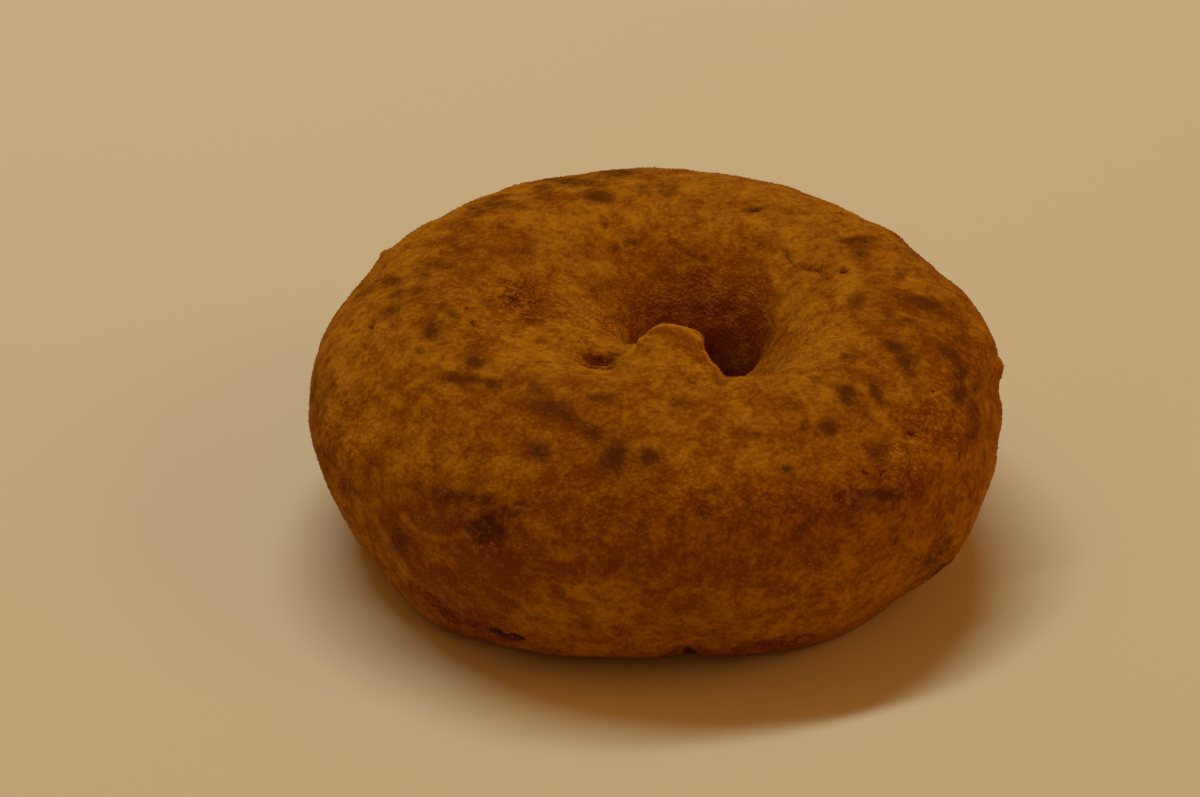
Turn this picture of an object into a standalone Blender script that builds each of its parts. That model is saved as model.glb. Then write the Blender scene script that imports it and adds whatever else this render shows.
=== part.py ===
"""A ring doughnut dusted with roasted soybean flour, as one solid piece of dough.

The ring starts as a torus and each of its points is moved to its place on the real section.
Two angles say where a point is: the azimuth runs round the ring, from +X towards +Y, and the
section angle runs round the dough, 0 at the outer wall, 90 on the crest, 180 in the hole and
270 under the base. Lengths are in metres and angles in degrees unless a name says otherwise.
"""

import math

import bpy
from mathutils import Vector, noise

# Driving dimensions
OUTER_RADIUS = 0.0415
CREST_HEIGHT = 0.0332
WAIST_HEIGHT = 0.0180  # where the outer wall stands widest
HOLE_RADIUS = 0.0076
HOLE_CENTRE = Vector((0.0055, 0.0005, 0.0))  # the hole sits right of the middle of the ring
OUTER_UNDERCUT = 0.0103  # how far the outer wall draws in from the waist to the base
HOLE_UNDERCUT = 0.0030
BASE_EDGE_ANGLE = 66.0  # below the waist; the flat base starts here

# Where the wall draws in more than that towards the base, or less where it is below 0:
# azimuth, how far it spreads either way, and by how much
FOOT_SHIFTS = (
    (204.0, 14.0, 0.0010),
    (223.0, 15.0, -0.0013),
    (267.0, 27.0, 0.0015),
    (308.0, 17.0, -0.0011),
)

# How the plan departs from a circle: (turns of the wave, cosine part, sine part)
PLAN_WAVES = ((2, 0.0, -0.0005), (3, 0.0003, -0.0010))

# Fullness of the section's quarters: 1 is an ellipse, under 1 is squarer
TOP_FULLNESS = 0.87
OUTER_FULLNESS = 1.20
HOLE_FULLNESS = 1.02
UNDER_FULLNESS = 0.95
UNDER_DROP = 1.45

# Sides of the ring where the top stays high up to the hole and then drops steeply:
# azimuth, how far it spreads either way, and by how much the section is squarer
RAMP = (165.0, 75.0, 0.16)
FAR_WALL = (80.0, 64.0, 0.23)

# The mesh
AROUND_STEPS = 112
SECTION_STEPS = 51
TORUS_RADIUS = 0.025
TORUS_TUBE = 0.015
FINER_AT = 118.0  # section angle with the closest rows, on the near lip of the hole
FINER_BY = 0.21  # and the share by which they are closer there
LIP_DETAIL = ((228.0, 300.0), (99.0, 141.0))  # azimuths and section angles with halved faces

# The tip of dough that stands on the lip of the hole
TIP_AZIMUTH = 268.5
TIP_ANGLE = 113.0
TIP_RISE = 0.0028
TIP_REACH = 0.0046
TIP_LEFT = (0.0012, 0.0092)  # from the tip's middle to the edge of its top and to its foot
TIP_RIGHT = (0.0019, 0.0049)
TIP_OUTER_SPREAD = 24.0
TIP_INNER_SPREAD = 44.0

# Round swellings and hollows: azimuth, section angle, half-width along the ring,
# half-width across it, and height, which is below 0 for a hollow
HOLLOW_BESIDE_TIP = (239.5, 116.0, 0.0018, 0.0021, -0.0070)
LIP_BY_HOLLOW = (242.0, 103.0, 0.0028, 0.0024, -0.0008)
LOW_LIP = (295.0, 112.0, 0.0060, 0.0040, -0.0019)
GULLY_BESIDE_TIP = (297.0, 134.0, 0.0034, 0.0036, -0.0036)
HOLLOW_ON_RAMP = (186.0, 109.0, 0.0034, 0.0030, -0.0009)
LOBE_AT_FOOT = (328.0, 336.0, 0.0046, 0.0040, 0.0017)
RECESS_UNDER_LOBE = (318.0, 318.0, 0.0038, 0.0026, -0.0009)
KNOB_BACK_RIGHT = (30.0, 53.0, 0.0016, 0.0016, 0.0009)
SHOULDER_BACK_RIGHT = (4.0, 36.0, 0.0050, 0.0042, 0.0007)
KNOB_RIGHT = (351.5, 22.0, 0.0018, 0.0016, 0.0008)
DIP_UNDER_KNOB = (347.0, 17.0, 0.0024, 0.0018, -0.0010)
CRUMB_BACK_LEFT = (156.0, 40.0, 0.0013, 0.0013, 0.0009)
FLAT_BACK_LEFT = (164.0, 34.0, 0.0080, 0.0045, -0.0005)
SHOULDER_FRONT = (252.0, 38.0, 0.0110, 0.0055, 0.0007)
FLAT_FRONT_LEFT = (226.0, 20.0, 0.0070, 0.0060, -0.0005)
FLAT_UNDER_LEFT = (212.0, 337.0, 0.0110, 0.0080, -0.0006)
LIP_UNDER_FOLD = (232.0, 307.0, 0.0070, 0.0018, 0.0009)
SHOULDER_RIGHT = (338.0, 52.0, 0.0070, 0.0050, 0.0006)
DIP_BACK = (95.0, 78.0, 0.0100, 0.0040, -0.0005)
SWELLINGS = (
    HOLLOW_BESIDE_TIP,
    LIP_BY_HOLLOW,
    LOW_LIP,
    GULLY_BESIDE_TIP,
    HOLLOW_ON_RAMP,
    LOBE_AT_FOOT,
    RECESS_UNDER_LOBE,
    KNOB_BACK_RIGHT,
    SHOULDER_BACK_RIGHT,
    KNOB_RIGHT,
    DIP_UNDER_KNOB,
    CRUMB_BACK_LEFT,
    FLAT_BACK_LEFT,
    SHOULDER_FRONT,
    FLAT_FRONT_LEFT,
    FLAT_UNDER_LEFT,
    LIP_UNDER_FOLD,
    SHOULDER_RIGHT,
    DIP_BACK,
)

# Furrows: half-width, depth, then the (azimuth, section angle) of each point along it
FOLD_OVER_BASE = (0.0010, 0.0008, ((207, 357), (216, 341), (224, 327), (233, 317), (245, 309)))
FOLD_FRONT_RIGHT = (0.0009, 0.0006, ((281, 312), (293, 314), (305, 313)))
SHOULDER_LINE = (0.0012, 0.0004, ((227, 4), (236, 19), (249, 25), (268, 28)))
RAMP_EDGE = (0.0022, 0.0011, ((200, 97), (214, 103), (228, 107)))
NOTCH_IN_BASE = (0.0013, 0.0012, ((275, 303), (275, 320)))
FURROWS = (FOLD_OVER_BASE, FOLD_FRONT_RIGHT, SHOULDER_LINE, RAMP_EDGE, NOTCH_IN_BASE)

# Uneven dough: (size of a lump, height of a lump)
LUMPS = ((0.0140, 0.00050), (0.0060, 0.00030), (0.0032, 0.00014))
LUMP_OFFSET = Vector((3.1, 7.4, 1.9))
RELIEF_FADE = 0.0016  # relief dies out over this height above the base

DOUGH_COLOUR = (0.330, 0.150, 0.028, 1.0)
DOUGH_ROUGHNESS = 0.85


def smooth_step(value):
    """0 below 0, 1 above 1, and a smooth rise between them."""
    value = min(max(value, 0.0), 1.0)
    return value * value * (3 - 2 * value)


def signed_power(value, exponent):
    return math.copysign(abs(value) ** exponent, value)


def outer_radius(azimuth):
    """The plan's radius at the waist."""
    waves = sum(
        cosine * math.cos(turns * azimuth) + sine * math.sin(turns * azimuth)
        for turns, cosine, sine in PLAN_WAVES
    )
    return OUTER_RADIUS + waves


def share_near(azimuth, middle, spread):
    """1 at an azimuth in degrees and 0 past its spread either way. The azimuth is in radians."""
    away = abs((math.degrees(azimuth) - middle + 180) % 360 - 180)
    return smooth_step(1 - away / spread)


def upper_section(azimuth, angle):
    """(share of the way from hole to outer wall, height) over the top, angles in radians."""
    squarer = 0.0
    for middle, spread, fullness in (RAMP, FAR_WALL):
        squarer = max(squarer, fullness * share_near(azimuth, middle, spread))
    squarer *= smooth_step(-math.cos(angle))
    side_fullness = OUTER_FULLNESS if math.cos(angle) > 0 else HOLE_FULLNESS
    share = (1 + signed_power(math.cos(angle), side_fullness - squarer)) / 2
    rise = abs(math.sin(angle)) ** (TOP_FULLNESS - squarer)
    return share, WAIST_HEIGHT + (CREST_HEIGHT - WAIST_HEIGHT) * rise


def outer_undercut(azimuth):
    """How far the outer wall draws in from the waist to the base."""
    shifts = sum(
        shift * share_near(azimuth, middle, spread) for middle, spread, shift in FOOT_SHIFTS
    )
    return OUTER_UNDERCUT + shifts


def lower_section(azimuth, angle, width):
    """The same below the waist: a wall that draws in to the edge of the base, then the flat."""
    below = math.atan2(-math.sin(angle), abs(math.cos(angle)))
    edge = math.radians(BASE_EDGE_ANGLE)
    down = min(below / edge, 1.0) * math.pi / 2
    across_base = max(below - edge, 0.0) / (math.pi / 2 - edge)
    drawn_in = 1 - math.cos(down) ** UNDER_FULLNESS
    outer_share = 1 - outer_undercut(azimuth) / width * drawn_in
    inner_share = HOLE_UNDERCUT / width * drawn_in
    middle = (outer_share + inner_share) / 2
    wall = outer_share if math.cos(angle) >= 0 else inner_share
    share = wall + (middle - wall) * across_base
    height = 0.0 if across_base > 0 else WAIST_HEIGHT * (1 - math.sin(down) ** UNDER_DROP)
    return share, height


def ring_point(azimuth, angle):
    """A point of the plain ring, before its relief. Both angles are in radians."""
    direction = Vector((math.cos(azimuth), math.sin(azimuth), 0.0))
    outer = direction * outer_radius(azimuth)
    inner = HOLE_CENTRE + direction * HOLE_RADIUS
    if math.sin(angle) >= 0:
        share, height = upper_section(azimuth, angle)
    else:
        share, height = lower_section(azimuth, angle, (outer - inner).length)
    point = inner.lerp(outer, share)
    point.z = height
    return point


def ring_normal(azimuth, angle):
    """The plain ring's outward direction, from its slope either side of the point."""
    step = math.radians(1.0)
    along = ring_point(azimuth + step, angle) - ring_point(azimuth - step, angle)
    across = ring_point(azimuth, angle + step) - ring_point(azimuth, angle - step)
    return along.cross(across).normalized()


def place(azimuth_degrees, angle_degrees):
    return ring_point(math.radians(azimuth_degrees), math.radians(angle_degrees))


def swelling_height(point, swelling):
    """What one swelling adds at a point: a smooth round form."""
    azimuth, angle, along, across, height = swelling
    offset = point - place(azimuth, angle)
    tangent = Vector((-math.sin(math.radians(azimuth)), math.cos(math.radians(azimuth)), 0.0))
    run = offset.dot(tangent)
    rest = (offset - tangent * run).length
    return height * math.exp(-((run / along) ** 2 + (rest / across) ** 2) / 2)


def distance_to_path(point, path):
    """The shortest way from a point to the line through the path's places."""
    shortest = math.inf
    places = [place(*stop) for stop in path]
    for start, end in zip(places, places[1:]):
        run = end - start
        share = min(max((point - start).dot(run) / run.length_squared, 0.0), 1.0)
        shortest = min(shortest, (point - start - run * share).length)
    return shortest


def furrow_depth(point, furrow):
    half_width, depth, path = furrow
    return depth * math.exp(-((distance_to_path(point, path) / half_width) ** 2) / 2)


def lump_height(point):
    """Rising dough is uneven at several sizes at once."""
    return sum(height * noise.noise(point / size + LUMP_OFFSET) for size, height in LUMPS)


def relief(point):
    """How far the surface stands out from the plain ring."""
    swellings = sum(swelling_height(point, swelling) for swelling in SWELLINGS)
    furrows = sum(furrow_depth(point, furrow) for furrow in FURROWS)
    return (swellings - furrows + lump_height(point)) * smooth_step(point.z / RELIEF_FADE)


def tip_shift(point, angle_degrees):
    """The tip of dough: the lip is drawn up and in over the hole."""
    beside = point.x - place(TIP_AZIMUTH, TIP_ANGLE).x
    top, foot = TIP_LEFT if beside < 0 else TIP_RIGHT
    width_share = smooth_step((foot - abs(beside)) / (foot - top))
    past_tip = angle_degrees - TIP_ANGLE
    spread = TIP_INNER_SPREAD if past_tip > 0 else TIP_OUTER_SPREAD
    share = width_share * smooth_step(1 - abs(past_tip) / spread)
    near_side = point.y < HOLE_CENTRE.y
    return Vector((0.0, TIP_REACH, TIP_RISE)) * share if near_side else Vector()


def spaced_angle(angle):
    """Rows of the torus are drawn together round the lip of the hole, where the detail is."""
    return angle - FINER_BY * math.sin(angle - math.radians(FINER_AT))


def doughnut_point(azimuth, angle):
    point = ring_point(azimuth, angle)
    shift = tip_shift(point, math.degrees(angle) % 360)
    return point + ring_normal(azimuth, angle) * relief(point) + shift


def clear_scene():
    for leftover in list(bpy.data.objects):
        bpy.data.objects.remove(leftover, do_unlink=True)


def dough_material():
    material = bpy.data.materials.new("dusted_dough")
    material.use_nodes = True
    shader = material.node_tree.nodes["Principled BSDF"]
    shader.inputs["Base Color"].default_value = DOUGH_COLOUR
    shader.inputs["Roughness"].default_value = DOUGH_ROUGHNESS
    shader.inputs["Metallic"].default_value = 0.0
    return material


def middle_of_box(points):
    """The middle of the box round the points, at the height of its lowest face."""
    lows = Vector(min(point[axis] for point in points) for axis in range(3))
    highs = Vector(max(point[axis] for point in points) for axis in range(3))
    return Vector(((lows.x + highs.x) / 2, (lows.y + highs.y) / 2, lows.z))


def ring_angles(torus_point):
    """The azimuth and section angle that a point of the torus stands for."""
    from_axis = math.hypot(torus_point.x, torus_point.y)
    azimuth = math.atan2(torus_point.y, torus_point.x)
    return azimuth, spaced_angle(math.atan2(torus_point.z, from_axis - TORUS_RADIUS))


def refine_near_lip(torus):
    """Halves the faces round the tip and the hollows beside it."""
    (first, last), (low, high) = LIP_DETAIL
    bpy.ops.object.mode_set(mode="EDIT")
    bpy.ops.mesh.select_all(action="DESELECT")
    bpy.ops.object.mode_set(mode="OBJECT")
    for face in torus.data.polygons:
        azimuth, angle = (math.degrees(value) % 360 for value in ring_angles(face.center))
        face.select = first < azimuth < last and low < angle < high
    bpy.ops.object.mode_set(mode="EDIT")
    bpy.ops.mesh.select_mode(type="FACE")
    bpy.ops.mesh.subdivide(number_cuts=1)
    bpy.ops.object.mode_set(mode="OBJECT")


def make_doughnut(collection):
    bpy.ops.mesh.primitive_torus_add(
        major_segments=AROUND_STEPS,
        minor_segments=SECTION_STEPS,
        major_radius=TORUS_RADIUS,
        minor_radius=TORUS_TUBE,
    )
    doughnut = bpy.context.object
    doughnut.name = "doughnut"
    refine_near_lip(doughnut)
    mesh = doughnut.data
    points = [doughnut_point(*ring_angles(vertex.co)) for vertex in mesh.vertices]
    origin = middle_of_box(points)
    for vertex, point in zip(mesh.vertices, points):
        vertex.co = point - origin
    mesh.shade_smooth()
    mesh.materials.append(dough_material())
    for owner in list(doughnut.users_collection):
        owner.objects.unlink(doughnut)
    collection.objects.link(doughnut)
    return doughnut


def main():
    clear_scene()
    collection = bpy.data.collections.new("kinako_doughnut")
    bpy.context.scene.collection.children.link(collection)
    make_doughnut(collection)


main()
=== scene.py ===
"""Looks of a ring doughnut dusted with kinako, which is roasted soybean flour.

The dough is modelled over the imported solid: its crust gets pits, cracks and knobs where the
photograph has them, then a coat of flour grains. Lengths are in metres. A mark on the crust is
placed by its pixel in the photograph, which is 1200 wide and 797 high, and so are its sizes
across the picture.
"""

import math

import bmesh
import bpy
import numpy as np
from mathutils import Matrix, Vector


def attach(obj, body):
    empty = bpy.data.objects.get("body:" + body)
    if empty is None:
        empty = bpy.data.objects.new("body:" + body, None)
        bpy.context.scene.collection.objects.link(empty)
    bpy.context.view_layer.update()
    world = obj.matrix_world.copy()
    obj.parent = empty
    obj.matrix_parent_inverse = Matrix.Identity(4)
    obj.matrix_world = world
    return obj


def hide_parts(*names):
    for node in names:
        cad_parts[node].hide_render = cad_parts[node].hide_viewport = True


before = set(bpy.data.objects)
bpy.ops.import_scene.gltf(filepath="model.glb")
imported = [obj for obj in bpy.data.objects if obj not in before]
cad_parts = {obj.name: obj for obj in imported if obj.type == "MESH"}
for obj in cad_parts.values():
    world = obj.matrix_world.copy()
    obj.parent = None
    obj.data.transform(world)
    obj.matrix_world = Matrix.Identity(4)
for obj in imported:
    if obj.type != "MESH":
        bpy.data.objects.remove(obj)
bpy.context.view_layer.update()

MM = 0.001

# The camera, as it stood for the photograph
PHOTO_WIDTH = 1200
PHOTO_HEIGHT = 797
LENS = 70.0
SENSOR = 23.6
ELEVATION = math.radians(31.0)
DISTANCE = 0.4327
AIM = Vector((0.0, 0.0, 0.0165))
AIM_PIXEL = (655.0, 396.0)

# Spots where the crust is dark or fat has soaked the flour, and two that paint shade in the hollow
# beside the tip:
# pixel, half-length and half-height in pixels, turn in degrees clockwise, strength
DARK_SPOTS = (
    (495, 204, 22, 7, -12, 0.60), (478, 209, 12, 6, -20, 0.60), (460, 223, 9, 5, 0, 0.50),
    (455, 244, 12, 5, 25, 0.60), (445, 265, 15, 5, 0, 0.65), (425, 276, 8, 7, 0, 0.55),
    (417, 290, 7, 6, 0, 0.50), (392, 281, 14, 6, 10, 0.70), (370, 290, 15, 3, -25, 0.45),
    (397, 296, 9, 10, 0, 0.55), (392, 312, 13, 6, -25, 0.60), (433, 328, 8, 11, 15, 0.85),
    (455, 314, 12, 5, 20, 0.65), (442, 308, 8, 5, 0, 0.65), (522, 251, 6, 4, 0, 0.50),
    (505, 228, 10, 7, 0, 0.35), (475, 348, 10, 9, 0, 0.55), (372, 345, 9, 8, 0, 0.30),
    (420, 352, 6, 5, 0, 0.55), (475, 362, 9, 7, 0, 0.90), (462, 378, 22, 6, 5, 0.85),
    (490, 383, 11, 5, 8, 0.85), (388, 386, 8, 5, -40, 0.45), (420, 388, 9, 5, 0, 0.40),
    (375, 398, 8, 6, 0, 0.50), (535, 388, 8, 12, 0, 0.55), (548, 408, 22, 8, 8, 0.80),
    (572, 419, 14, 8, 35, 0.75), (318, 395, 8, 24, 0, 0.55), (330, 385, 6, 14, 0, 0.45),
    (328, 462, 8, 9, 0, 0.45), (375, 462, 13, 6, 0, 0.35), (350, 490, 10, 12, 0, 0.45),
    (445, 488, 12, 8, 0, 0.40), (470, 497, 38, 8, 5, 0.60), (440, 522, 30, 13, 0, 0.35),
    (400, 540, 13, 16, -10, 0.50), (540, 452, 12, 10, 0, 0.80), (520, 445, 14, 9, 0, 0.25),
    (600, 398, 15, 6, -5, 0.65), (590, 432, 14, 8, 25, 0.80), (613, 456, 14, 18, 15, 0.85),
    (650, 458, 9, 9, 0, 1.00), (680, 405, 12, 5, -10, 0.50), (755, 435, 11, 4, -10, 0.50),
    (791, 404, 10, 4, 15, 0.50), (720, 382, 9, 4, 0, 0.55), (690, 385, 8, 5, 0, 0.45),
    (645, 492, 8, 4, 0, 0.35), (787, 468, 7, 5, 30, 0.70), (705, 512, 8, 6, 0, 0.55),
    (750, 512, 7, 7, 0, 0.45), (637, 527, 8, 6, 0, 0.45), (715, 490, 12, 5, 0, 0.55),
    (847, 395, 8, 11, -20, 0.90), (865, 410, 9, 8, 40, 0.40), (876, 393, 12, 5, 60, 0.85),
    (829, 428, 9, 7, 30, 0.95), (804, 428, 5, 4, 0, 0.50), (815, 378, 9, 3, 20, 0.60),
    (835, 386, 10, 3, 25, 0.50), (846, 355, 9, 5, 0, 0.60), (893, 347, 9, 6, 20, 0.95),
    (905, 362, 13, 7, 70, 0.80), (911, 354, 13, 8, 50, 0.60), (935, 345, 14, 6, 20, 0.50),
    (950, 353, 10, 6, 25, 0.75), (960, 369, 11, 6, 60, 0.85), (960, 395, 9, 9, 0, 0.85),
    (972, 408, 14, 6, 70, 0.65), (976, 430, 6, 11, 0, 0.70), (975, 388, 4, 10, 0, 0.60),
    (880, 450, 15, 13, 0, 0.60), (880, 492, 14, 8, 0, 0.65), (868, 505, 26, 9, 8, 0.55),
    (881, 494, 22, 7, 4, 0.85), (960, 372, 7, 9, -20, 0.95), (804, 530, 7, 8, 0, 0.50),
    (857, 525, 6, 6, 0, 0.55), (945, 545, 14, 9, -50, 0.45), (930, 560, 12, 10, 0, 0.55),
    (944, 571, 14, 8, -50, 0.62), (858, 240, 17, 4, -3, 0.85), (858, 251, 9, 10, 0, 0.60),
    (915, 256, 11, 4, 35, 0.45), (900, 275, 8, 6, 0, 0.50), (895, 294, 13, 5, 10, 0.55),
    (925, 303, 17, 6, 12, 0.95), (945, 313, 9, 4, 15, 0.65), (858, 300, 12, 9, 0, 0.60),
    (905, 322, 11, 5, 0, 0.60), (890, 313, 8, 7, 0, 0.60), (790, 212, 10, 5, 20, 0.40),
    (755, 209, 9, 3, -5, 0.75), (960, 338, 6, 8, 0, 0.45), (545, 190, 9, 9, 0, 0.50),
    (575, 182, 26, 4, 5, 0.75), (600, 196, 13, 6, 10, 0.90), (620, 173, 18, 4, -4, 0.80),
    (645, 190, 9, 7, 30, 0.45), (668, 190, 12, 9, 0, 0.55), (632, 243, 8, 4, 0, 0.55),
    (615, 248, 5, 5, 0, 0.45), (695, 257, 13, 3, 20, 0.45), (605, 287, 12, 6, 0, 0.40),
    # The spots at (600, 360) and (612, 357) are painted shade in the hollow beside the tip
    (713, 179, 16, 3, 0, 0.25), (572, 256, 12, 3, 0, 0.35), (600, 360, 12, 4, 4, 0.62),
    (612, 357, 9, 5, -35, 0.55), (912, 373, 6, 8, 40, 0.70),
)

# Places where the brown-red crust shows through, given in the same way
BARE_SPOTS = (
    (519, 293, 20, 13, 0, 0.85), (532, 310, 15, 12, 60, 1.15), (508, 305, 10, 8, 0, 0.80),
    (505, 284, 9, 6, 0, 0.65), (541, 297, 8, 7, 0, 0.80), (492, 300, 8, 6, 0, 0.45),
    (490, 524, 20, 15, 0, 0.60), (507, 512, 14, 7, 0, 0.80), (462, 507, 20, 6, 5, 0.45),
    (442, 608, 28, 6, 42, 1.00), (476, 627, 16, 5, 22, 0.85), (415, 588, 14, 5, 48, 0.60),
    # The spot at (588, 358) is partly painted shade in the hollow beside the tip
    (500, 634, 20, 4, 20, 0.80), (785, 645, 24, 4, -10, 0.80), (588, 358, 8, 4, 20, 0.45),
    (840, 497, 8, 5, 0, 0.70), (818, 549, 14, 9, 0, 0.50), (895, 543, 8, 10, 0, 0.45),
    (912, 434, 6, 6, 0, 0.60), (909, 464, 4, 28, 0, 0.55),
)

# Small holes in the crust, sunk in and darkened with painted shade: pixel, half-length, half-height,
# turn, strength
PITS = (
    (467, 307, 2.4, 3.4, 0, 0.7), (473, 323, 3.8, 3.2, -30, 0.7), (369, 305, 3.0, 5.0, 0, 0.5),
    (370, 326, 3.5, 4.5, 0, 0.7), (606, 224, 3.5, 5.0, 0, 0.9), (755, 209, 8.0, 3.0, -5, 0.7),
    (843, 270, 7.0, 2.8, 0, 0.8), (912, 433, 4.0, 3.2, 20, 0.9), (840, 497, 5.0, 3.0, 0, 0.7),
    (850, 485, 3.0, 3.0, 0, 0.7), (865, 473, 3.5, 3.5, 0, 0.8), (883, 474, 3.5, 5.0, 0, 0.7),
    (961, 454, 3.0, 3.0, 0, 0.7), (935, 391, 4.0, 3.5, 0, 0.7), (931, 403, 4.0, 3.0, 0, 0.7),
    (961, 498, 4.0, 4.0, 0, 0.7), (955, 503, 3.0, 3.0, 0, 0.6), (804, 530, 4.0, 5.0, 0, 0.5),
    (855, 611, 4.0, 2.5, 30, 0.6), (583, 623, 4.0, 4.0, 0, 0.5), (680, 621, 3.5, 3.5, 0, 0.5),
    (633, 645, 3.0, 5.0, 0, 0.5), (632, 243, 6.0, 3.0, 0, 0.5), (615, 248, 4.0, 4.0, 0, 0.5),
    (968, 435, 3.0, 3.0, 0, 0.6), (896, 541, 2.6, 7.0, 30, 0.9), (546, 506, 8.0, 2.0, 6, 0.6),
    (895, 505, 3.0, 3.0, 0, 0.4), (767, 250, 7.0, 2.5, 0, 0.5), (827, 276, 3.0, 5.0, -30, 0.5),
)

# Cracks and folds, sunk in and darkened with painted shade: pixels along the line, half-width in
# pixels, strength
CRACKS = (
    (((783, 250), (788, 258), (795, 266), (806, 268), (818, 270), (826, 278)), 2.2, 0.90),
    (((683, 214), (697, 221), (705, 231), (716, 236), (735, 240), (752, 240)), 3.0, 0.50),
    (((758, 246), (772, 250), (783, 250)), 3.0, 0.70),
    (((672, 243), (684, 252), (697, 258), (708, 261)), 2.8, 0.50),
    (((501, 502), (514, 504), (533, 503), (548, 506)), 1.8, 0.80),
    (((413, 584), (440, 605), (468, 621), (487, 630)), 3.2, 0.45),
    (((490, 631), (500, 634), (510, 637), (520, 641)), 3.4, 1.60),
    (((735, 651), (760, 644), (790, 638), (815, 638)), 2.6, 0.90),
    (((452, 494), (470, 500), (486, 504)), 3.0, 0.30),
    (((478, 331), (490, 336), (500, 338), (505, 343)), 2.2, 0.70),
    (((905, 592), (915, 580), (928, 566), (940, 552), (952, 538), (962, 522)), 3.5, 0.60),
    (((800, 380), (820, 381), (838, 388)), 2.6, 0.40),
    (((800, 374), (818, 367), (838, 360), (850, 352), (866, 343)), 2.2, 0.55),
    (((909, 432), (907, 448), (911, 462), (909, 478), (913, 492)), 2.2, 0.60),
    (((362, 298), (369, 310), (371, 332)), 2.6, 0.40),
    (((925, 526), (935, 516), (950, 512)), 2.2, 0.40),
    (((500, 338), (520, 346), (540, 352)), 3.0, 0.30),
)

# Rough, knobbly stretches of crust, given like the dark spots
ROUGH_SPOTS = (
    (935, 420, 34, 44, 0, 1.0), (900, 470, 26, 34, 0, 1.0), (860, 500, 34, 18, 0, 0.9),
    (955, 480, 26, 40, 0, 0.8), (820, 590, 60, 34, -15, 0.7), (345, 440, 26, 60, 0, 0.8),
    (350, 330, 30, 40, 0, 0.5), (520, 305, 34, 24, 0, 1.0), (560, 300, 44, 30, 0, 0.5),
    (470, 560, 50, 40, 0, 0.6), (760, 540, 90, 40, 0, 0.5), (930, 555, 30, 22, -40, 0.8),
    (590, 560, 70, 50, 0, 0.4), (560, 330, 90, 34, 10, 0.80), (690, 368, 90, 24, 0, 0.80),
    (830, 330, 40, 46, 0, 0.60), (480, 325, 50, 26, 20, 0.70),
)
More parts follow.
